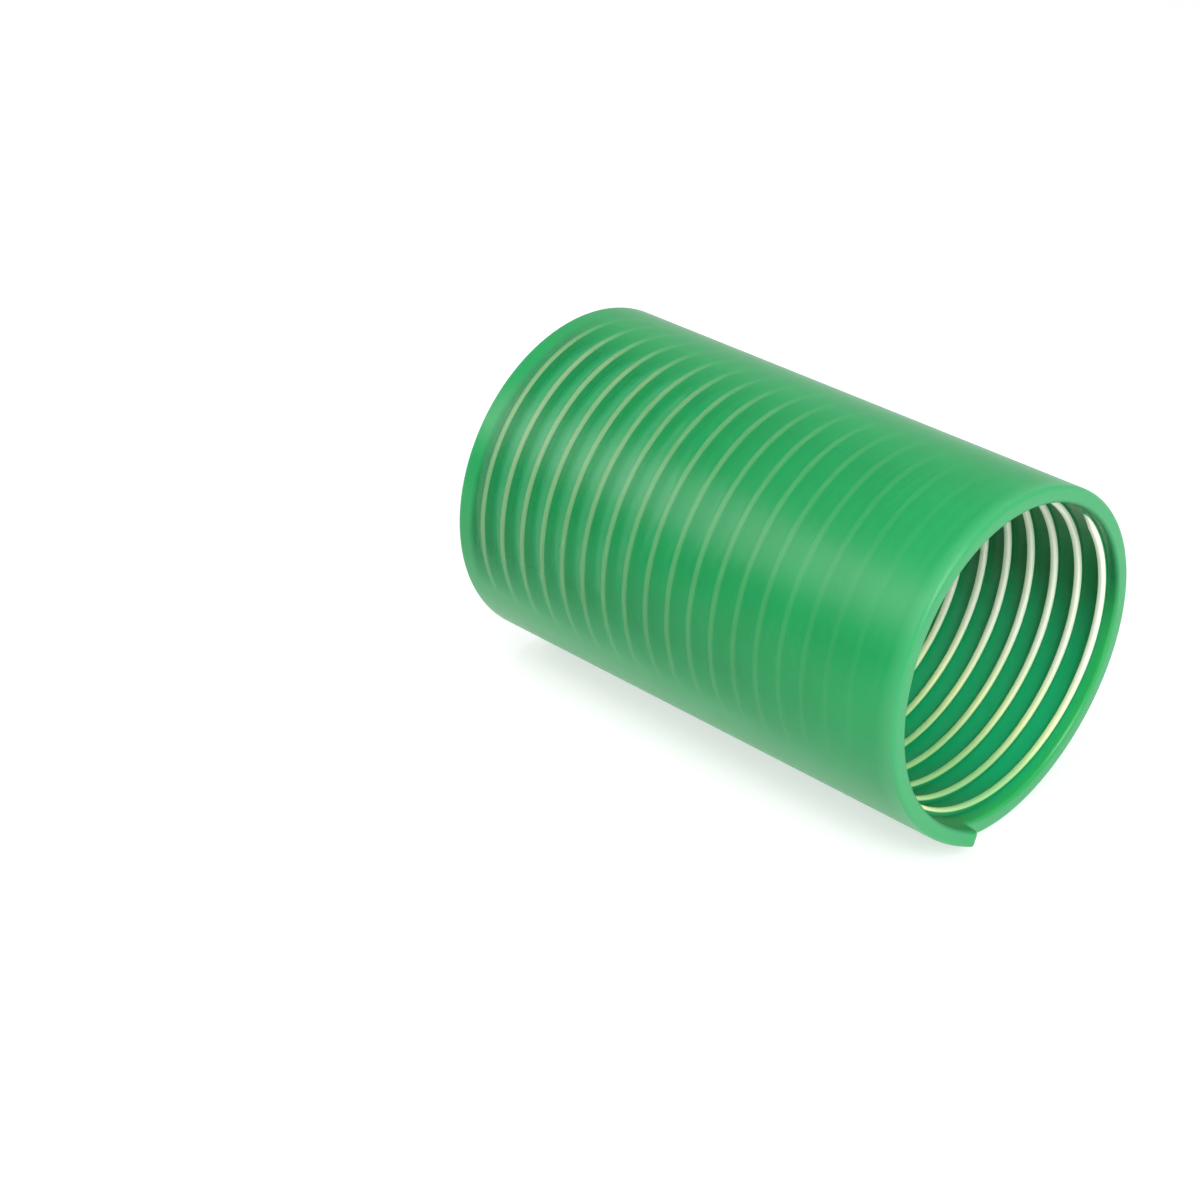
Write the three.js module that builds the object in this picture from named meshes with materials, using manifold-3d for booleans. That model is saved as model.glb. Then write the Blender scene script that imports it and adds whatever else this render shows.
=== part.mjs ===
// A short cut length of ribbed suction hose, lying on its side.
//
// The hose is a tube of soft green PVC that is wound round a helix of rigid
// cream PVC. The helix stands a little proud of the bore as a row of ribs. The
// far end is sawn square. The mouth is cut round by hand: the cut wanders a
// little and misses its start, so it ends in a short tail with a step at the
// bottom.
//
// Frame: millimetres, +X along the hose towards the mouth, +Z up. The origin is
// under the middle of the hose, on the surface that it lies on. Angles round
// the hose start at its top and grow towards -Y, the way the helix winds
// towards the mouth.

import * as THREE from 'three';
import { mergeVertices } from 'three/addons/utils/BufferGeometryUtils.js';
import Module from 'manifold-3d';

const wasm = await Module();
wasm.setup();

// Hose
const boreDiameter = 102;
const wallThickness = 5.5;
const hoseLength = 186;

// Helix, in its section across the hose
const helixPitch = 9;
const ribWidth = 2.2;
const ribCrestWidth = 1.3;
const ribRootWidth = 1.9;
const ribStandingHeight = 2.1;
const ribBuriedDepth = 3.5;
const ribAtTop = 6.9;
const helixEndBeforeTop = THREE.MathUtils.degToRad(30);
const helixClearance = 0.3;

// Ends
const sawnEdgeRound = 1;
const sawnBoreBevel = 0.5;
const mouthEdgeRound = 1.4;
const cutStep = 5.7;
const cutStepAngle = THREE.MathUtils.degToRad(158);
const cutTailPower = 14;
const cutWander = 0.8;

// Fineness: flat sides round the hose, and reach of the cutting tools
const sidesPerTurn = 24;
const cutterReach = 6;

const turn = 2 * Math.PI;
const sideAngle = turn / sidesPerTurn;
const boreRadius = boreDiameter / 2;
const outerRadius = boreRadius + wallThickness;

// A faceted circle of this radius has its flats on the true circle.
function cornerRadius(trueRadius) {
  return trueRadius / Math.cos(sideAngle / 2);
}

// A path round the hose's axis. A section swept along it is drawn with its true
// distance from the axis first and its place along the axis second. It runs
// from the larger angle down to the smaller one, so that faces point outwards.
class RoundTheAxis extends THREE.Curve {
  constructor(startAngle, endAngle, placeAlongAxis) {
    super();
    this.startAngle = startAngle;
    this.endAngle = endAngle;
    this.placeAlongAxis = placeAlongAxis;
  }

  angleAt(share) {
    return this.endAngle + (this.startAngle - this.endAngle) * share;
  }

  getPoint(share, target = new THREE.Vector3()) {
    return target.set(this.placeAlongAxis(this.angleAt(share)), 0, 0);
  }

  getSpacedPoints(divisions) {
    return Array.from({ length: divisions + 1 }, (_, i) => this.getPoint(i / divisions));
  }

  computeFrenetFrames(divisions) {
    const frames = { tangents: [], normals: [], binormals: [] };
    for (let i = 0; i <= divisions; i += 1) {
      const angle = this.angleAt(i / divisions);
      frames.tangents.push(new THREE.Vector3(0, Math.cos(angle), Math.sin(angle)));
      frames.normals.push(new THREE.Vector3(0, -Math.sin(angle), Math.cos(angle)));
      frames.binormals.push(new THREE.Vector3(1, 0, 0));
    }
    return frames;
  }
}

function sweep(section, startAngle, endAngle, placeAlongAxis) {
  const corners = section.map(([radius, along]) => new THREE.Vector2(cornerRadius(radius), along));
  const shape = new THREE.Shape(corners);
  const steps = Math.max(1, Math.round((endAngle - startAngle) / sideAngle));
  const path = new RoundTheAxis(startAngle, endAngle, placeAlongAxis);
  return new THREE.ExtrudeGeometry(shape, { steps, extrudePath: path, bevelEnabled: false });
}

function toSolid(geometry) {
  geometry.deleteAttribute('normal');
  geometry.deleteAttribute('uv');
  const merged = mergeVertices(geometry, 1e-4);
  return new wasm.Manifold(new wasm.Mesh({
    numProp: 3,
    vertProperties: new Float32Array(merged.attributes.position.array),
    triVerts: new Uint32Array(merged.index.array),
  }));
}

function toGeometry(solid) {
  const { vertProperties, triVerts } = solid.getMesh();
  const geometry = new THREE.BufferGeometry();
  geometry.setAttribute('position', new THREE.BufferAttribute(vertProperties, 3));
  geometry.setIndex(new THREE.BufferAttribute(triVerts, 1));
  geometry.computeVertexNormals();
  return geometry;
}

// Helix: where its middle lies at each angle, and the angle where it reaches a
// place along the axis. Its corners lie on the corners of the hose's sides.
function helixPlace(angle) {
  return ribAtTop + helixPitch * (angle / turn);
}

function helixAngle(place) {
  return (place - ribAtTop) / helixPitch * turn;
}

function cornerBefore(angle) {
  return (Math.floor(angle / sideAngle - 0.5) + 0.5) * sideAngle;
}

// The helix ends a little before the top, in its last turn that clears the mouth.
const helixTurns = Math.floor(helixAngle(cutPlace(turn) - ribWidth / 2) / turn);
const crestRadius = boreRadius - ribStandingHeight;
const rootRadius = boreRadius + ribBuriedDepth;
const grooveStart = cornerBefore(helixAngle(-ribWidth));
const grooveEnd = cornerBefore(helixTurns * turn - helixEndBeforeTop);
const helixEnd = grooveEnd - helixClearance / crestRadius;

const ribSection = [
  [crestRadius, -ribCrestWidth / 2],
  [boreRadius, -ribWidth / 2],
  [rootRadius, -ribRootWidth / 2],
  [rootRadius, ribRootWidth / 2],
  [boreRadius, ribWidth / 2],
  [crestRadius, ribCrestWidth / 2],
];

// The groove follows the rib's buried sides and opens into the bore.
const ribTaper = (ribWidth - ribRootWidth) / 2 / ribBuriedDepth;
const grooveBottom = rootRadius + helixClearance;
const grooveMouth = boreRadius - cutterReach;

function grooveHalfWidth(radius) {
  return ribWidth / 2 + helixClearance - ribTaper * (radius - boreRadius);
}

const grooveSection = [
  [grooveMouth, -grooveHalfWidth(grooveMouth)],
  [grooveBottom, -grooveHalfWidth(grooveBottom)],
  [grooveBottom, grooveHalfWidth(grooveBottom)],
  [grooveMouth, grooveHalfWidth(grooveMouth)],
];

// Mouth: the cut runs right round from the foot of the step, wanders twice to
// and fro, and climbs in a tail to the tip of the step.
function cutPlace(angle) {
  const share = Math.max(0, (angle - cutStepAngle) / turn);
  const wander = -cutWander * Math.sin(2 * turn * share);
  return hoseLength - cutStep + wander + cutStep * share ** cutTailPower;
}

const half = Math.SQRT1_2;
const mouthSection = [
  [grooveMouth, 0],
  [outerRadius - mouthEdgeRound, 0],
  [outerRadius - mouthEdgeRound * (1 - half), -mouthEdgeRound * (1 - half)],
  [outerRadius + mouthEdgeRound * (1 - half), -mouthEdgeRound * (1 + half)],
  [outerRadius + cutterReach, -mouthEdgeRound * (1 + half)],
  [outerRadius + cutterReach, cutStep + cutterReach],
  [grooveMouth, cutStep + cutterReach],
];

// The cut is made in two passes that overlap. Both have a corner at the step.
function cutMouth(solid) {
  const halfway = cutStepAngle + turn / 2;
  const firstPass = sweep(mouthSection, cutStepAngle, halfway + sideAngle, cutPlace);
  const secondPass = sweep(mouthSection, halfway, cutStepAngle + turn + sideAngle, cutPlace);
  return solid.subtract(toSolid(firstPass)).subtract(toSolid(secondPass));
}

function makeHoseWall() {
  const tubeEnd = hoseLength + cutterReach / 2;
  const profile = [
    [boreRadius, sawnBoreBevel],
    [boreRadius + sawnBoreBevel, 0],
    [outerRadius - sawnEdgeRound, 0],
    [outerRadius - sawnEdgeRound * (1 - half), sawnEdgeRound * (1 - half)],
    [outerRadius, sawnEdgeRound],
    [outerRadius, tubeEnd],
    [boreRadius, tubeEnd],
    [boreRadius, sawnBoreBevel],
  ].map(([radius, along]) => new THREE.Vector2(cornerRadius(radius), along));
  const tube = new THREE.LatheGeometry(profile, sidesPerTurn, sideAngle / 2);
  tube.rotateZ(-Math.PI / 2);
  const groove = sweep(grooveSection, grooveStart, grooveEnd, helixPlace);
  return cutMouth(toSolid(tube).subtract(toSolid(groove)));
}

function makeHelix() {
  const sawnPlane = new THREE.BoxGeometry(hoseLength, 2 * outerRadius, 2 * outerRadius);
  sawnPlane.translate(helixClearance - hoseLength / 2, 0, 0);
  const endSection = [
    [grooveMouth, -ribWidth],
    [outerRadius, -ribWidth],
    [outerRadius, ribWidth],
    [grooveMouth, ribWidth],
  ];
  const endTrim = sweep(endSection, helixEnd, grooveEnd + sideAngle, helixPlace);
  const winding = toSolid(sweep(ribSection, grooveStart, grooveEnd, helixPlace));
  return winding.subtract(toSolid(sawnPlane)).subtract(toSolid(endTrim));
}

const softGreen = new THREE.MeshStandardMaterial({ color: 0x35ad66, roughness: 0.35, metalness: 0 });
const rigidCream = new THREE.MeshStandardMaterial({ color: 0xf1f2d2, roughness: 0.4, metalness: 0 });

const hoseWall = new THREE.Mesh(toGeometry(makeHoseWall()), softGreen);
hoseWall.name = 'hose_wall';

const reinforcingHelix = new THREE.Mesh(toGeometry(makeHelix()), rigidCream);
reinforcingHelix.name = 'reinforcing_helix';

const hose = new THREE.Group();
hose.add(hoseWall, reinforcingHelix);
hose.position.set(-hoseLength / 2, 0, outerRadius);

export default hose;
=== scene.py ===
"""Looks for a short cut length of green PVC suction hose with a cream PVC helix.

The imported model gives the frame: metres, +X along the hose towards its mouth, +Z up.
Angles round the hose start at its top and grow towards -Y, the way the helix winds.
"""

import logging
import math
from dataclasses import dataclass
from enum import Enum
from typing import Any, Callable

import bmesh
import bpy
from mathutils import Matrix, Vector


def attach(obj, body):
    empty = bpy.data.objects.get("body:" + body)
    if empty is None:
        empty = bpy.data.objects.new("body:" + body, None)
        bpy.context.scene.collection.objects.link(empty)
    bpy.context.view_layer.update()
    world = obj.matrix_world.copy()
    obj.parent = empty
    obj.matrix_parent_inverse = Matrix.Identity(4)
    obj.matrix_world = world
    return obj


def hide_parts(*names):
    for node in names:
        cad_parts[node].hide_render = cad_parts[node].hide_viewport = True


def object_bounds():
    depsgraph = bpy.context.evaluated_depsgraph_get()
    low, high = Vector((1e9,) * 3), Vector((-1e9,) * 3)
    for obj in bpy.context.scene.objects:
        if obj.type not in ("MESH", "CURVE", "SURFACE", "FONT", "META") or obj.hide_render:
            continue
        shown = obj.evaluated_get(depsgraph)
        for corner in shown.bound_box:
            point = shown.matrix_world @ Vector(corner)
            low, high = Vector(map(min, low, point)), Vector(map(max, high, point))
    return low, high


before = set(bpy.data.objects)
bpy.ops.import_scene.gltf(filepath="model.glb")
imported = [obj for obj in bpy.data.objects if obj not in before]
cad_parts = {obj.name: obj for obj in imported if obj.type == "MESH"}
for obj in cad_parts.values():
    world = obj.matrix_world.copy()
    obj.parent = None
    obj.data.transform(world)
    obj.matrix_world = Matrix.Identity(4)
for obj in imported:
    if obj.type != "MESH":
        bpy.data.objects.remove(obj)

CAD_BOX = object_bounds()
TURN = 2 * math.pi
MM = 0.001

# Points closer together than this are one point.
TOUCH = 0.001 * MM

# The attribute that marks the mouth's cut face, which the finish paints paler with painted light.
CUT_FACE = "cut_face"

# Sockets of a Mix node by number, since its data types share their names.
SHARE = 0
NUMBER_A = 2
NUMBER_B = 3
COLOUR_A = 6
COLOUR_B = 7
MIXED_COLOUR = 2

log = logging.getLogger("hose")


class Slot(Enum):
    """The record's material slots."""

    SOFT_GREEN = "soft_green_pvc"
    RIGID_CREAM = "rigid_cream_pvc"


class TurnSteps(Enum):
    """How many steps a full turn round the hose is drawn with."""

    WALL = 192
    RIB = 160


def linear(hex_colour: str) -> tuple[float, float, float, float]:
    """Turns an sRGB hex colour to linear.

    Args:
        hex_colour: Six hex digits after a hash sign.

    Returns:
        Linear red, green, blue and an alpha of one.
    """
    shares = [int(hex_colour[i:i + 2], 16) / 255 for i in (1, 3, 5)]
    red, green, blue = [s / 12.92 if s <= 0.04045 else ((s + 0.055) / 1.055) ** 2.4 for s in shares]
    return red, green, blue, 1.0


@dataclass(frozen=True)
class HoseSizes:
    """Sizes of the hose, in metres and radians: those of its solids, and two for the looks only."""

    bore_diameter: float = 102 * MM
    wall: float = 5.5 * MM
    length: float = 186 * MM
    pitch: float = 9 * MM
    rib_width: float = 2.2 * MM
    rib_standing: float = 2.1 * MM
    rib_buried: float = 3.5 * MM
    rib_at_top: float = 6.9 * MM
    rib_end_before_top: float = math.radians(37.5)
    cut_step: float = 5.7 * MM
    cut_step_angle: float = math.radians(158)
    cut_tail_power: float = 14
    cut_wander: float = 0.8 * MM
    sawn_round: float = 1 * MM
    sawn_bevel: float = 0.5 * MM
    mouth_round: float = 1.4 * MM

    # For the looks only: the mouth's inner edge, and how far the rod's sawn face stands out.
    mouth_bevel: float = 1.3 * MM
    sawn_rod_proud: float = 0.1 * MM

    @property
    def bore_radius(self) -> float:
        """Radius of the bore between the ribs."""
        return self.bore_diameter / 2

    @property
    def outer_radius(self) -> float:
        """Radius of the hose outside."""
        return self.bore_radius + self.wall

    @property
    def crest_radius(self) -> float:
        """Radius of the bore over the ribs."""
        return self.bore_radius - self.rib_standing

    @property
    def root_radius(self) -> float:
        """Radius of the helix where it lies deepest in the wall."""
        return self.bore_radius + self.rib_buried

    @property
    def sawn_x(self) -> float:
        """Place of the sawn end along the hose."""
        return CAD_BOX[0].x

    @property
    def foot_x(self) -> float:
        """Place of the mouth's edge at the foot of its step."""
        return self.sawn_x + self.length - self.cut_step

    @property
    def axis_point(self) -> Vector:
        """Middle of the sawn end."""
        return Vector((self.sawn_x, 0, self.outer_radius))

    def part_way(self, share: float) -> float:
        """Place at a share of the hose's length, counted from its sawn end."""
        return self.sawn_x + share * self.length

    def angle_of(self, point: Vector) -> float:
        """Angle of a point round the hose, from its top towards -Y, from 0 to a full turn."""
        return math.atan2(-point.y, point.z - self.outer_radius) % TURN

    def radius_at(self, point: Vector) -> float:
        """Distance of a point from the hose's axis."""
        return math.hypot(point.y, point.z - self.outer_radius)

    def cut_share(self, angle: float) -> float:
        """Share of the cut's way round from the foot of the step to its tip, at an angle."""
        return (angle - self.cut_step_angle) % TURN / TURN

    def cut_rise(self, share: float) -> float:
        """How far the mouth's edge lies past the foot of its step, at a share of its way round."""
        return self.cut_step * share ** self.cut_tail_power - self.cut_wander * math.sin(2 * TURN * share)

    def rib_x(self, angle: float) -> float:
        """Place of the helix's middle along the hose at an angle that counts its turns."""
        return self.sawn_x + self.rib_at_top + self.pitch * angle / TURN

    def rib_angle(self, x: float) -> float:
        """Angle, counting turns, at which the helix's middle reaches a place along the hose."""
        return (x - self.sawn_x - self.rib_at_top) / self.pitch * TURN


def only(piece: bpy.types.Object) -> None:
    """Deselects everything and makes one piece selected and active.

    Args:
        piece: The piece.
    """
    bpy.ops.object.select_all(action="DESELECT")
    piece.select_set(True)
    bpy.context.view_layer.objects.active = piece


def select_where(test: Callable[[Any], bool], kind: str = "verts") -> None:
    """In edit mode, selects the parts of the active mesh that pass a test, and nothing else.

    Args:
        test: Says of a vertex, edge or face whether it is selected.
        kind: Which of verts, edges or faces the test is for.
    """
    mesh = bmesh.from_edit_mesh(bpy.context.edit_object.data)
    for group in (mesh.verts, mesh.edges, mesh.faces):
        for item in group:
            item.select = False
    chosen = [item for item in getattr(mesh, kind) if test(item)]
    for item in chosen:
        item.select_set(True)
    mesh.select_flush_mode()
    bmesh.update_edit_mesh(bpy.context.edit_object.data)


def new_section(name: str, middle: Vector, width: float, height: float) -> bpy.types.Object:
    """Adds a plate that stands at the top of the hose, in line with its axis, open in edit mode.

    Args:
        name: The new piece's name.
        middle: The plate's middle.
        width: Its size along the hose.
        height: Its size away from the axis.

    Returns:
        The new piece.
    """
    bpy.ops.object.select_all(action="DESELECT")
    bpy.ops.mesh.primitive_plane_add(size=1, location=middle, rotation=(math.pi / 2, 0, 0))
    piece = bpy.context.active_object
    piece.name = name
    piece.scale = (width, height, 1)
    bpy.ops.object.transform_apply(location=True, rotation=True, scale=True)
    bpy.ops.object.mode_set(mode="EDIT")
    return piece


def turn_section(angle: float, axis_point: Vector) -> None:
    """Turns the whole open mesh round the hose's axis, from the top towards -Y.

    Args:
        angle: How far it turns.
        axis_point: A point on the hose's axis.
    """
    bpy.ops.mesh.select_all(action="SELECT")
    # With no window, this operator turns the other way.
    bpy.ops.transform.rotate(value=-angle, orient_axis="X", center_override=axis_point)


def apply_modifier(piece: bpy.types.Object, kind: str, **settings: Any) -> None:
    """Adds a modifier to a piece and applies it.

    Args:
        piece: The piece.
        kind: The modifier's type.
        settings: Its properties.
    """
    only(piece)
    bpy.ops.object.modifier_add(type=kind)
    modifier = piece.modifiers[-1]
    for name, value in settings.items():
        setattr(modifier, name, value)
    bpy.ops.object.modifier_apply(modifier=modifier.name)


def settle(piece: bpy.types.Object, smooth_angle: float) -> None:
    """Moves a piece's place into its mesh, turns its faces out and smooths its shading.

    Args:
        piece: The piece.
        smooth_angle: The sharpest bend that is still shaded smooth.
    """
    only(piece)
    bpy.ops.object.transform_apply(location=True, rotation=True, scale=True)
    bpy.ops.object.mode_set(mode="EDIT")
    bpy.ops.mesh.select_all(action="SELECT")
    bpy.ops.mesh.normals_make_consistent(inside=False)
    bpy.ops.object.mode_set(mode="OBJECT")
    bpy.ops.object.shade_smooth_by_angle(angle=smooth_angle)


def dress(piece: bpy.types.Object, material: bpy.types.Material) -> None:
    """Gives a piece its one material."""
    piece.data.materials.clear()
    piece.data.materials.append(material)


@dataclass
class Nodes:
    """The node tree of a new material or world, with one function that adds to it."""

    owner: bpy.types.Material | bpy.types.World

    def __post_init__(self) -> None:
        """Empties the tree."""
        self.owner.use_nodes = True
        self.owner.node_tree.nodes.clear()

    def add(self, kind: str, links: dict[Any, Any] | None = None, **settings: Any) -> bpy.types.Node:
        """Adds a node with its settings and links.

        Args:
            kind: The node's type, without the word ShaderNode.
            links: Inputs, by name or number, to the nodes, sockets or values that feed them.
            settings: Properties of the node.

        Returns:
            The new node.
        """
        node = self.owner.node_tree.nodes.new("ShaderNode" + kind)
        for name, value in settings.items():
            setattr(node, name, value)
        for key, source in (links or {}).items():
            if isinstance(source, bpy.types.Node):
                source = source.outputs[0]
            if isinstance(source, bpy.types.NodeSocket):
                self.owner.node_tree.links.new(source, node.inputs[key])
            else:
                node.inputs[key].default_value = source
        return node


def from_axis(nodes: Nodes, place: bpy.types.NodeSocket, size: HoseSizes) -> bpy.types.Node:
    """Adds the node that counts a point's height from the hose's axis and not from the floor."""
    return nodes.add("VectorMath", {0: place, 1: (0, 0, size.outer_radius)}, operation="SUBTRACT")


def radius_of(nodes: Nodes, place: bpy.types.NodeSocket, size: HoseSizes) -> bpy.types.NodeSocket:
    """Adds the nodes that measure how far a point lies from the hose's axis.

    Args:
        nodes: The material's nodes.
        place: The point, in object coordinates.
        size: The hose's sizes.

    Returns:
        The distance, in metres.
    """
    across = nodes.add("VectorMath", {0: from_axis(nodes, place, size), 1: (0, 1, 1)}, operation="MULTIPLY")
    return nodes.add("VectorMath", {0: across}, operation="LENGTH").outputs["Value"]


@dataclass(frozen=True)
class SoftGreenPvc:
    """Soft, see-through green PVC, extruded.

    The die leaves it smooth, with a broad soft gloss and faint clouds in its green. Some light goes
    in, so the helix shows through the skin. The bore's glow, where light comes through the wall, is
    painted into its colour, and so is the cut face's paler, lit look.
    """

    sizes: HoseSizes
    skin_colour: str = "#129D56"
    cloud_colour: str = "#0C904C"
    cloud_size: float = 20 * MM
    cloud_detail: float = 3.0
    bore_colour: str = "#067A44"
    # Painted light: the glow colour lights the bore where light comes through the wall, the lip colour
    # lights it just inside the mouth.
    painted_glow_colour: str = "#10B878"
    painted_lip_glow_colour: str = "#2DB35A"
    painted_cut_light_colour: str = "#3CA668"
    ior: float = 1.5
    specular: float = 0.36
    skin_roughness: float = 0.34
    bore_roughness: float = 0.28
    scatter: float = 0.3
    scatter_depth: float = 3 * MM
    scatter_reach: tuple[float, float, float] = (0.2, 1.0, 0.4)

    # Seen face on, the skin is solid at the sawn end, then clear, then grows hazy to the mouth.
    solid_alpha: float = 0.95
    clear_alpha: float = 0.5
    hazy_alpha: float = 0.93
    bore_alpha: float = 0.93
    solid_until: float = 5 * MM
    clear_from: float = 7.5 * MM
    haze_from_share: float = 0.1
    haze_full_share: float = 0.92

    # The bore's looks reach this deep into the wall, and the skin's start from here.
    bore_depth: float = 0.2 * MM
    skin_depth: float = 1.4 * MM

    # Slants between which the skin's sheen comes up, from 0 face on to 1 edge on.
    sheen_from: float = 0.4
    sheen_full: float = 0.62

    # Painted light: the bore is painted lighter where light comes through the wall from the +Y side,
    # this far below the level of the axis. How far a point lies that way is a share of the bore's radius.
    light_below: float = math.radians(55)
    glow_from: float = 0.55
    glow_full: float = 1.0
    lip_from: float = 0.4
    lip_full: float = 0.8

    # The far half of the bore is painted lit as well, by shares of the length, and so is the lip, by
    # how far a point lies before the foot of the mouth's step.
    deep_from_share: float = 0.6
    deep_full_share: float = 0.35
    lip_start: float = 6 * MM
    lip_end: float = 1 * MM

    def make(self) -> bpy.types.Material:
        """Builds the node tree.

        Returns:
            The material.
        """
        size = self.sizes
        nodes = Nodes(bpy.data.materials.new("extruded_soft_green_pvc"))
        place = nodes.add("TexCoord").outputs["Object"]
        along = nodes.add("SeparateXYZ", {0: place}).outputs["X"]
        # 0 in the bore's surface, 1 in the skin.
        outside = nodes.add("MapRange", {
            "Value": radius_of(nodes, place, size),
            "From Min": size.bore_radius + self.bore_depth,
            "From Max": size.bore_radius + self.skin_depth,
        })
        uncut = nodes.add("Mix", {
            SHARE: outside,
            COLOUR_A: self.bore_green_and_painted_glow(nodes, place, along),
            COLOUR_B: self.skin_green(nodes, place),
        }, data_type="RGBA").outputs[MIXED_COLOUR]
        # The cut face is painted paler: painted light where it faces the lamps.
        cut = nodes.add("Attribute", attribute_name=CUT_FACE).outputs["Fac"]
        colour = nodes.add("Mix", {
            SHARE: nodes.add("Math", {0: cut, 1: outside}, operation="MULTIPLY"),
            COLOUR_A: uncut,
            COLOUR_B: linear(self.painted_cut_light_colour),
        }, data_type="RGBA").outputs[MIXED_COLOUR]
        roughness = nodes.add("Mix", {
            SHARE: outside, NUMBER_A: self.bore_roughness, NUMBER_B: self.skin_roughness,
        }, data_type="FLOAT")
        alpha = nodes.add("Mix", {
            SHARE: outside, NUMBER_A: self.bore_alpha, NUMBER_B: self.skin_alpha(nodes, along),
        }, data_type="FLOAT")
        body = nodes.add("BsdfPrincipled", {
            "Base Color": colour,
            "Roughness": roughness,
            "IOR": self.ior,
            "Specular IOR Level": self.specular,
            "Alpha": alpha,
            "Subsurface Weight": self.scatter,
            "Subsurface Radius": self.scatter_reach,
            "Subsurface Scale": self.scatter_depth,
        })
        nodes.add("OutputMaterial", {"Surface": body})
        return nodes.owner

    def skin_green(self, nodes: Nodes, place: bpy.types.NodeSocket) -> bpy.types.NodeSocket:
        """Adds the skin's clouded green.

        Args:
            nodes: The material's nodes.
            place: The point, in object coordinates.

        Returns:
            The colour.
        """
        clouds = nodes.add("TexNoise", {
            "Vector": place, "Scale": 1 / self.cloud_size, "Detail": self.cloud_detail,
        })
        return nodes.add("Mix", {
            SHARE: clouds, COLOUR_A: linear(self.cloud_colour), COLOUR_B: linear(self.skin_colour),
        }, data_type="RGBA").outputs[MIXED_COLOUR]

    def bore_green_and_painted_glow(
        self, nodes: Nodes, place: bpy.types.NodeSocket, along: bpy.types.NodeSocket
    ) -> bpy.types.NodeSocket:
        """Adds the bore's green, with painted light: lighter in its far half and low down, and most just
        inside the mouth.

        Args:
            nodes: The material's nodes.
            place: The point, in object coordinates.
            along: Its place along the hose.

        Returns:
            The colour.
        """
        size = self.sizes
        level = math.cos(self.light_below) / size.bore_radius
        down = math.sin(self.light_below) / size.bore_radius
        low = nodes.add("VectorMath", {
            0: from_axis(nodes, place, size), 1: (0, level, -down),
        }, operation="DOT_PRODUCT").outputs["Value"]
        glow = nodes.add("MapRange", {
            "Value": low, "From Min": self.glow_from, "From Max": self.glow_full,
        })
        deep = nodes.add("MapRange", {
            "Value": along,
            "From Min": size.part_way(self.deep_from_share),
            "From Max": size.part_way(self.deep_full_share),
        })
        lit = nodes.add("Mix", {
            SHARE: nodes.add("Math", {0: glow, 1: deep}, operation="MAXIMUM"),
            COLOUR_A: linear(self.bore_colour),
            COLOUR_B: linear(self.painted_glow_colour),
        }, data_type="RGBA").outputs[MIXED_COLOUR]
        # Painted light on the lip, low down just inside the mouth.
        near_lip_glow = nodes.add("MapRange", {
            "Value": along, "From Min": size.foot_x - self.lip_start, "From Max": size.foot_x - self.lip_end,
        })
        low_lip_glow = nodes.add("MapRange", {
            "Value": low, "From Min": self.lip_from, "From Max": self.lip_full,
        })
        return nodes.add("Mix", {
            SHARE: nodes.add("Math", {0: near_lip_glow, 1: low_lip_glow}, operation="MULTIPLY"),
            COLOUR_A: lit,
            COLOUR_B: linear(self.painted_lip_glow_colour),
        }, data_type="RGBA").outputs[MIXED_COLOUR]

    def skin_alpha(self, nodes: Nodes, along: bpy.types.NodeSocket) -> bpy.types.Node:
        """Adds the skin's alpha. Seen at a slant it shows its sheen and not what lies under it.

        Args:
            nodes: The material's nodes.
            along: The point's place along the hose.

        Returns:
            The node that gives the alpha.
        """
        size = self.sizes
        haze = nodes.add("MapRange", {
            "Value": along,
            "From Min": size.part_way(self.haze_from_share),
            "From Max": size.part_way(self.haze_full_share),
            "To Min": self.clear_alpha,
            "To Max": self.hazy_alpha,
        })
        past_end = nodes.add("MapRange", {
            "Value": along,
            "From Min": size.sawn_x + self.solid_until,
            "From Max": size.sawn_x + self.clear_from,
        })
        face_on = nodes.add("Mix", {
            SHARE: past_end, NUMBER_A: self.solid_alpha, NUMBER_B: haze,
        }, data_type="FLOAT")
        sheen = nodes.add("MapRange", {
            "Value": nodes.add("LayerWeight").outputs["Facing"],
            "From Min": self.sheen_from,
            "From Max": self.sheen_full,
        })
        return nodes.add("Mix", {
            SHARE: sheen, NUMBER_A: face_on, NUMBER_B: self.solid_alpha,
        }, data_type="FLOAT")


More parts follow.
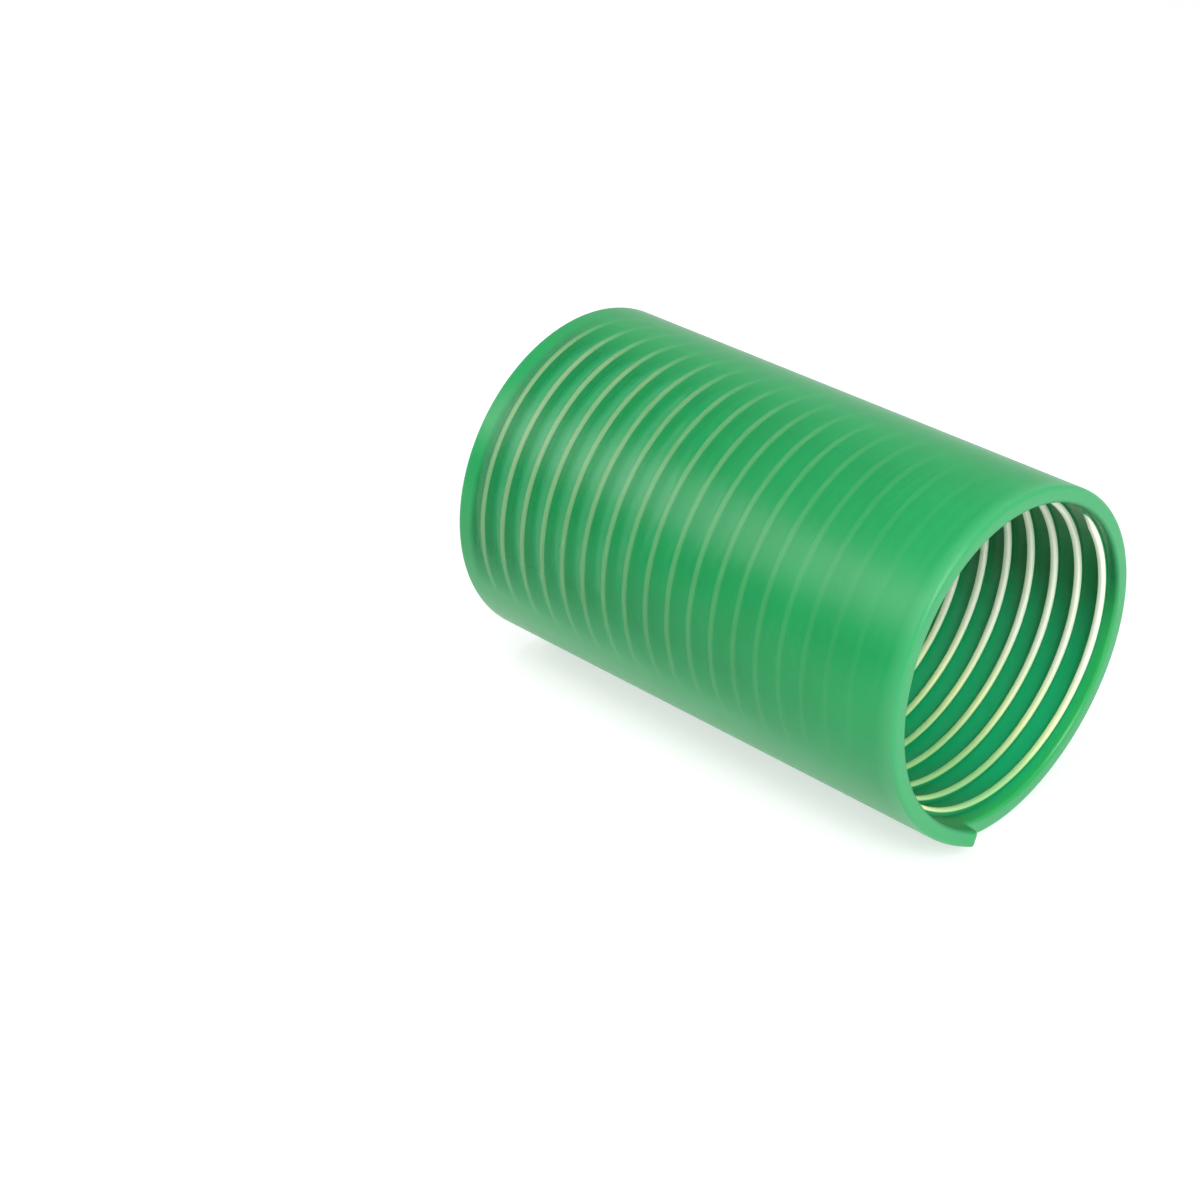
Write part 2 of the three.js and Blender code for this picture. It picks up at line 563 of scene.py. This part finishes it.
@dataclass(frozen=True)
class RigidCreamPvc:
    """Rigid, opaque cream PVC, extruded.

    It is smooth and near white in the bore. Low down it is painted yellower and under a film of
    green, painted shade and green bounce light. Its sides take the wall's green where the wall
    covers them, and low down that green reaches further as painted shade on their flanks. Its root
    lies close under the skin.
    """

    sizes: HoseSizes
    colour: str = "#FBFFF0"
    shade_colour: str = "#F8FDE4"
    cloud_size: float = 15 * MM
    cloud_detail: float = 2.0
    low_painted_shade_colour: str = "#E6F6B4"
    film_painted_shade_colour: str = "#A2D892"
    buried_colour: str = "#169055"
    root_colour: str = "#F2F4CC"
    ior: float = 1.5
    roughness: float = 0.38

    # Heights over the floor between which the ribs are painted yellower and greener, painted shade
    # and green bounce light.
    low_from: float = 36 * MM
    low_full: float = 17 * MM
    film_shade_full: float = 8 * MM

    # The wall's green creeps up the rib's foot. Low down in the bore it creeps further, as painted
    # shade on the rib's flank.
    foot_cover: float = 0.6 * MM
    low_foot_cover_and_shade: float = 1.2 * MM
    cover_from: float = 40 * MM
    cover_full: float = 14 * MM
    cover_edge: float = 0.1 * MM

    # Depths under the root's face between which its cream gives way to green.
    root_depth: float = 0.2 * MM
    side_depth: float = 0.5 * MM

    def make(self) -> bpy.types.Material:
        """Builds the node tree.

        Returns:
            The material.
        """
        size = self.sizes
        nodes = Nodes(bpy.data.materials.new("extruded_rigid_cream_pvc"))
        place = nodes.add("TexCoord").outputs["Object"]
        axes = nodes.add("SeparateXYZ", {0: place}).outputs
        radius = radius_of(nodes, place, size)
        covered_and_shaded = nodes.add("Mix", {
            SHARE: self.cover_and_shade_share(nodes, radius, axes["Z"]),
            COLOUR_A: self.rib_cream_and_painted_shade(nodes, place, axes["Z"]),
            COLOUR_B: linear(self.buried_colour),
        }, data_type="RGBA").outputs[MIXED_COLOUR]
        at_root = nodes.add("MapRange", {
            "Value": radius,
            "From Min": size.root_radius - self.side_depth,
            "From Max": size.root_radius - self.root_depth,
        })
        wound = nodes.add("Mix", {
            SHARE: at_root, COLOUR_A: covered_and_shaded, COLOUR_B: linear(self.root_colour),
        }, data_type="RGBA").outputs[MIXED_COLOUR]
        # Sawn through, the rod shows its bare cream.
        sawn = nodes.add("MapRange", {
            "Value": axes["X"],
            "From Min": size.sawn_x + size.sawn_rod_proud,
            "From Max": size.sawn_x + size.sawn_rod_proud / 2,
        })
        colour = nodes.add("Mix", {
            SHARE: sawn, COLOUR_A: wound, COLOUR_B: linear(self.colour),
        }, data_type="RGBA").outputs[MIXED_COLOUR]
        body = nodes.add("BsdfPrincipled", {
            "Base Color": colour,
            "Roughness": self.roughness,
            "IOR": self.ior,
        })
        nodes.add("OutputMaterial", {"Surface": body})
        return nodes.owner

    def rib_cream_and_painted_shade(
        self, nodes: Nodes, place: bpy.types.NodeSocket, height: bpy.types.NodeSocket
    ) -> bpy.types.NodeSocket:
        """Adds the colour of the ribs in the bore, with painted shade and green bounce light low down.

        Args:
            nodes: The material's nodes.
            place: The point, in object coordinates.
            height: Its height over the floor.

        Returns:
            The colour.
        """
        clouds = nodes.add("TexNoise", {
            "Vector": place, "Scale": 1 / self.cloud_size, "Detail": self.cloud_detail,
        })
        bare = nodes.add("Mix", {
            SHARE: clouds, COLOUR_A: linear(self.shade_colour), COLOUR_B: linear(self.colour),
        }, data_type="RGBA").outputs[MIXED_COLOUR]
        # Painted shade and green bounce light: low in the bore the ribs turn yellower, then greener.
        low_painted_shade = nodes.add("MapRange", {
            "Value": height, "From Min": self.low_from, "From Max": self.low_full,
        })
        lower = nodes.add("Mix", {
            SHARE: low_painted_shade, COLOUR_A: bare, COLOUR_B: linear(self.low_painted_shade_colour),
        }, data_type="RGBA").outputs[MIXED_COLOUR]
        film_painted_shade = nodes.add("MapRange", {
            "Value": height, "From Min": self.low_full, "From Max": self.film_shade_full,
        })
        return nodes.add("Mix", {
            SHARE: film_painted_shade, COLOUR_A: lower, COLOUR_B: linear(self.film_painted_shade_colour),
        }, data_type="RGBA").outputs[MIXED_COLOUR]

    def cover_and_shade_share(
        self, nodes: Nodes, radius: bpy.types.NodeSocket, height: bpy.types.NodeSocket
    ) -> bpy.types.Node:
        """Adds the share of the wall's green over the rod's cream, which reaches further low in the bore
        as painted shade.

        Args:
            nodes: The material's nodes.
            radius: The point's distance from the hose's axis.
            height: Its height over the floor.

        Returns:
            The node that gives 0 on the bare rib and 1 where the wall covers it or the painted shade lies.
        """
        size = self.sizes
        # Low in the bore the cover reaches further: painted shade on the rib's flank.
        cover_and_shade = nodes.add("MapRange", {
            "Value": height,
            "From Min": self.cover_from,
            "From Max": self.cover_full,
            "To Min": self.foot_cover,
            "To Max": self.low_foot_cover_and_shade,
        })
        return nodes.add("MapRange", {
            "Value": nodes.add("Math", {0: radius, 1: cover_and_shade}, operation="ADD"),
            "From Min": size.bore_radius - self.cover_edge,
            "From Max": size.bore_radius + self.cover_edge,
        })


@dataclass
class HoseWall:
    """The soft green tube, sawn square at one end and cut with a step at the other."""

    sizes: HoseSizes
    finish: SoftGreenPvc
    rings: int = 40
    round_steps: int = 8
    smooth_angle: float = math.radians(40)

    # The cut face starts this far before the mouth's edge, in rounds of that edge.
    cut_face_rounds: float = 1.1

    def build(self) -> bpy.types.Object:
        """Spins the wall's section round the hose, and pulls the mouth's edge out along its cut.

        Returns:
            The wall.
        """
        wall = self.draw_section()
        bpy.ops.mesh.select_all(action="SELECT")
        bpy.ops.mesh.spin(
            steps=TurnSteps.WALL.value, angle=TURN, center=self.sizes.axis_point, axis=(1, 0, 0)
        )
        bpy.ops.object.mode_set(mode="OBJECT")
        self.cut_mouth(wall)
        self.mark_cut_face(wall)
        settle(wall, self.smooth_angle)
        dress(wall, self.finish.make())
        return wall

    def draw_section(self) -> bpy.types.Object:
        """Draws the wall's section at the step's angle, and leaves it open in edit mode.

        Returns:
            The object, whose mesh is the section's outline.
        """
        size = self.sizes
        start = size.sawn_x + size.sawn_rod_proud
        length = size.foot_x - size.cut_wander - start
        middle = Vector((start + length / 2, 0, size.outer_radius + size.bore_radius + size.wall / 2))
        wall = new_section("soft_wall", middle, length, size.wall)
        for at_mouth, outside, radius in (
            (False, True, size.sawn_round),
            (False, False, size.sawn_bevel),
            (True, True, size.mouth_round),
            (True, False, size.mouth_bevel),
        ):
            select_where(lambda v: (v.co.x > middle.x) == at_mouth and (v.co.z > middle.z) == outside)
            bpy.ops.mesh.bevel(offset=radius, segments=self.round_steps, affect="VERTICES")
        bpy.ops.mesh.select_all(action="SELECT")
        bpy.ops.mesh.delete(type="ONLY_FACE")
        select_where(lambda e: e.calc_length() > length / 2, "edges")
        bpy.ops.mesh.subdivide(number_cuts=self.rings)
        turn_section(size.cut_step_angle, size.axis_point)
        return wall

    def cut_mouth(self, wall: bpy.types.Object) -> None:
        """Pulls the mouth's edge along the hose by the cut's rise.

        The step falls from its tip to its foot within the first step of the turn.

        Args:
            wall: The spun wall. Its last section, which meets its first, is still selected.
        """
        size = self.sizes
        reach = size.cut_step + size.cut_wander
        edge_start = size.foot_x - size.cut_wander - size.mouth_round - TOUCH
        rise = wall.vertex_groups.new(name="rise")
        for vertex in wall.data.vertices:
            # The selected section lies at the step's tip, at the end of the cut's way round.
            share = 1.0 if vertex.select else size.cut_share(size.angle_of(vertex.co))
            if vertex.co.x > edge_start:
                rise.add([vertex.index], (size.cut_rise(share) + size.cut_wander) / reach, "REPLACE")
        apply_modifier(wall, "DISPLACE", direction="X", mid_level=0.0, strength=reach, vertex_group="rise")

    def mark_cut_face(self, wall: bpy.types.Object) -> None:
        """Marks the mouth's cut face with an attribute, which the finish reads.

        Args:
            wall: The wall.
        """
        only(wall)
        bpy.ops.geometry.attribute_add(name=CUT_FACE, domain="POINT", data_type="FLOAT")
        bpy.ops.object.mode_set(mode="EDIT")
        select_where(lambda v: not self.is_before_cut(v.co))
        bpy.ops.mesh.attribute_set(value_float=1.0)
        bpy.ops.object.mode_set(mode="OBJECT")

    def is_before_cut(self, point: Vector) -> bool:
        """Tells the wall's skin and bore from the mouth's cut face.

        Args:
            point: A point of the wall.

        Returns:
            Whether it lies before the mouth's rounded edge.
        """
        size = self.sizes
        mouth = size.foot_x + size.cut_rise(size.cut_share(size.angle_of(point)))
        return point.x < mouth - self.cut_face_rounds * size.mouth_round


@dataclass
class CreamHelix:
    """The rigid cream rod that is wound through the wall and stands proud of the bore."""

    sizes: HoseSizes
    finish: RigidCreamPvc
    smooth_angle: float = math.radians(50)

    # The rounds of the rib's crest and of its root, as shares of its width.
    crest_round: float = 0.36
    crest_steps: int = 4
    root_round: float = 0.3
    root_steps: int = 2

    # Over this angle the rib's end sinks into the wall, in steps, until it lies this far under it.
    sink_angle: float = math.radians(14)
    sink_steps: int = 6
    sink_under: float = 0.1 * MM

    @property
    def start(self) -> float:
        """Angle, counting turns, where the winding starts, a rib's width before the sawn end."""
        return self.sizes.rib_angle(self.sizes.sawn_x - self.sizes.rib_width)

    @property
    def end(self) -> float:
        """Angle, counting turns, where the helix ends, in its last turn that clears the mouth.

        Returns:
            The angle, which is a little before the top.
        """
        size = self.sizes
        top_of_mouth = size.foot_x + size.cut_rise(size.cut_share(0))
        whole_turns = math.floor(size.rib_angle(top_of_mouth - size.rib_width / 2) / TURN)
        return whole_turns * TURN - size.rib_end_before_top

    def build(self) -> bpy.types.Object:
        """Draws the rod's section, winds it round the hose and shapes its ends.

        Returns:
            The helix.
        """
        helix = self.draw_section()
        self.wind(helix)
        self.close_ends()
        settle(helix, self.smooth_angle)
        self.sink_end(helix)
        dress(helix, self.finish.make())
        return helix

    def draw_section(self) -> bpy.types.Object:
        """Draws the rod's section at the angle where the winding starts.

        Returns:
            The object, whose mesh is the section's outline.
        """
        size = self.sizes
        height = size.root_radius - size.crest_radius
        middle = Vector((size.rib_x(self.start), 0, size.outer_radius + size.crest_radius + height / 2))
        helix = new_section("cream_helix", middle, size.rib_width, height)
        select_where(lambda v: v.co.z < middle.z)
        bpy.ops.mesh.bevel(
            offset=self.crest_round * size.rib_width, segments=self.crest_steps, affect="VERTICES"
        )
        select_where(lambda v: v.co.z > middle.z + height / 2 - TOUCH)
        bpy.ops.mesh.bevel(
            offset=self.root_round * size.rib_width, segments=self.root_steps, affect="VERTICES"
        )
        bpy.ops.mesh.select_all(action="SELECT")
        bpy.ops.mesh.delete(type="ONLY_FACE")
        turn_section(self.start % TURN, size.axis_point)
        bpy.ops.object.mode_set(mode="OBJECT")
        return helix

    def wind(self, helix: bpy.types.Object) -> None:
        """Screws the section round the hose's axis, from the start to the end.

        Args:
            helix: The section.
        """
        size = self.sizes
        angle = self.end - self.start
        steps = round(angle / TURN * TurnSteps.RIB.value)
        only(helix)
        bpy.context.scene.cursor.location = size.axis_point
        bpy.ops.object.origin_set(type="ORIGIN_CURSOR")
        apply_modifier(
            helix, "SCREW", axis="X", angle=angle, screw_offset=size.pitch * angle / TURN,
            steps=steps, render_steps=steps, use_smooth_shade=True,
        )

    def close_ends(self) -> None:
        """Closes both ends of the active winding, and saws it off in the plane of the sawn end."""
        bpy.ops.object.mode_set(mode="EDIT")
        select_where(lambda e: e.is_boundary, "edges")
        bpy.ops.mesh.fill()
        bpy.ops.mesh.select_all(action="SELECT")
        bpy.ops.mesh.bisect(
            plane_co=self.sizes.axis_point, plane_no=(1, 0, 0), use_fill=True, clear_inner=True,
            threshold=TOUCH,
        )
        bpy.ops.object.mode_set(mode="OBJECT")

    def sink_end(self, helix: bpy.types.Object) -> None:
        """Sinks the rib's last stretch into the wall, so that it runs out and doesn't stop short.

        Args:
            helix: The rod, at its place.
        """
        size = self.sizes
        last_turn = size.rib_x(self.end) - size.pitch / 2
        sunk_radius = size.bore_radius + self.sink_under
        growth = (sunk_radius / size.crest_radius) ** (1 / self.sink_steps)
        only(helix)
        bpy.ops.object.mode_set(mode="EDIT")
        for step in range(self.sink_steps):
            start = self.end % TURN - self.sink_angle * (1 - step / self.sink_steps)
            select_where(lambda v: (
                v.co.x > last_turn and size.angle_of(v.co) > start and size.radius_at(v.co) < sunk_radius
            ))
            bpy.ops.transform.resize(value=(1, growth, growth), center_override=size.axis_point)
        bpy.ops.object.mode_set(mode="OBJECT")


def look_at(thing: bpy.types.Object, aim: Vector, azimuth: float, elevation: float, distance: float) -> None:
    """Places a light or camera so that it looks at a point.

    Args:
        thing: The light or camera.
        aim: The point.
        azimuth: The side that it looks from, from -Y towards +X.
        elevation: Its angle above the level of the point.
        distance: Its distance from the point.
    """
    level = math.cos(elevation)
    back = Vector((math.sin(azimuth) * level, -math.cos(azimuth) * level, math.sin(elevation)))
    thing.location = aim + back * distance
    thing.rotation_mode = "QUATERNION"
    thing.rotation_quaternion = (-back).to_track_quat("-Z", "Y")


@dataclass(frozen=True)
class Softbox:
    """A square soft light that faces the middle of the hose, in metres and degrees."""

    name: str
    azimuth: float
    elevation: float
    distance: float
    side: float
    watts: float

    def hang(self) -> None:
        """Adds the light."""
        bpy.ops.object.light_add(type="AREA")
        lamp = bpy.context.active_object
        lamp.name = self.name
        lamp.data.size = self.side
        lamp.data.energy = self.watts
        middle = Vector((0, 0, CAD_BOX[1].z / 2))
        look_at(lamp, middle, math.radians(self.azimuth), math.radians(self.elevation), self.distance)


@dataclass
class Studio:
    """A plain pale floor, soft lights and the camera at the photograph's place."""

    # The camera
    azimuth: float = math.radians(44.489)
    elevation: float = math.radians(30.145)
    distance: float = 898.3 * MM
    aim: tuple[float, float, float] = (-40.3 * MM, -44.87 * MM, 45.86 * MM)
    lens: float = 85.38
    sensor: float = 36
    nearest: float = 0.01
    farthest: float = 20

    # The floor
    floor_size: float = 6.0
    floor_colour: str = "#B4B4B4"
    floor_roughness: float = 0.9
    floor_glow: float = 0.62

    # The room: its light by how far a direction points behind the hose, from -1 to 1
    white: str = "#FFFFFF"
    dim: float = 0.15
    dim_until: float = -0.6
    bright: float = 0.72
    bright_from: float = 0.7

    softboxes: tuple[Softbox, ...] = (
        Softbox("mouth_softbox", azimuth=68, elevation=42, distance=1.3, side=0.6, watts=10),
        Softbox("bore_softbox", azimuth=82, elevation=18, distance=1.2, side=0.4, watts=3),
        Softbox("key_softbox", azimuth=5, elevation=68, distance=1.3, side=0.8, watts=7),
        Softbox("side_softbox", azimuth=-45, elevation=34, distance=1.1, side=0.5, watts=4),
    )

    def build(self) -> None:
        """Makes the floor, the room's light, the softboxes and the camera."""
        self.make_floor()
        self.make_room()
        for softbox in self.softboxes:
            softbox.hang()
        self.make_camera()

    def make_floor(self) -> None:
        """Lays a pale matt floor under the hose, which glows enough to look white."""
        bpy.ops.object.select_all(action="DESELECT")
        bpy.ops.mesh.primitive_plane_add(size=self.floor_size, location=(0, 0, 0))
        floor = bpy.context.active_object
        floor.name = "floor"
        nodes = Nodes(bpy.data.materials.new("pale_matt_floor"))
        body = nodes.add("BsdfPrincipled", {
            "Base Color": linear(self.floor_colour),
            "Roughness": self.floor_roughness,
            "Emission Color": linear(self.white),
            "Emission Strength": self.floor_glow,
        })
        nodes.add("OutputMaterial", {"Surface": body})
        dress(floor, nodes.owner)

    def make_room(self) -> None:
        """Fills the room with soft light, bright behind the hose and dim on the camera's side."""
        room = bpy.data.worlds.new("white_room")
        nodes = Nodes(room)
        behind = nodes.add("VectorMath", {
            0: nodes.add("TexCoord").outputs["Generated"],
            1: (-math.sin(self.azimuth), math.cos(self.azimuth), 0),
        }, operation="DOT_PRODUCT").outputs["Value"]
        strength = nodes.add("MapRange", {
            "Value": behind,
            "From Min": self.dim_until,
            "From Max": self.bright_from,
            "To Min": self.dim,
            "To Max": self.bright,
        })
        light = nodes.add("Background", {"Color": linear(self.white), "Strength": strength})
        nodes.add("OutputWorld", {"Surface": light})
        bpy.context.scene.world = room

    def make_camera(self) -> None:
        """Places the camera so that the hose lies in the frame as in the photograph."""
        bpy.ops.object.camera_add()
        camera = bpy.context.active_object
        camera.name = "camera"
        look_at(camera, Vector(self.aim), self.azimuth, self.elevation, self.distance)
        camera.data.lens = self.lens
        camera.data.sensor_width = self.sensor
        camera.data.clip_start = self.nearest
        camera.data.clip_end = self.farthest
        bpy.context.scene.camera = camera
        bpy.context.scene.view_settings.view_transform = "Standard"


def take_place(piece: bpy.types.Object, node: str) -> None:
    """Makes a piece ride on the hose's one body and stand for a CAD node.

    Args:
        piece: The finished piece.
        node: The CAD node that it stands for.
    """
    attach(piece, "root")
    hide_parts(node)
    log.info("%s: %d faces", piece.name, len(piece.data.polygons))


def main() -> None:
    """Builds the hose's pieces in order, then the studio round them."""
    logging.basicConfig(level=logging.INFO, format="%(name)s: %(message)s")
    sizes = HoseSizes()
    take_place(HoseWall(sizes, SoftGreenPvc(sizes)).build(), "hose_wall")
    take_place(CreamHelix(sizes, RigidCreamPvc(sizes)).build(), "reinforcing_helix")
    Studio().build()


if __name__ == "__main__":
    main()
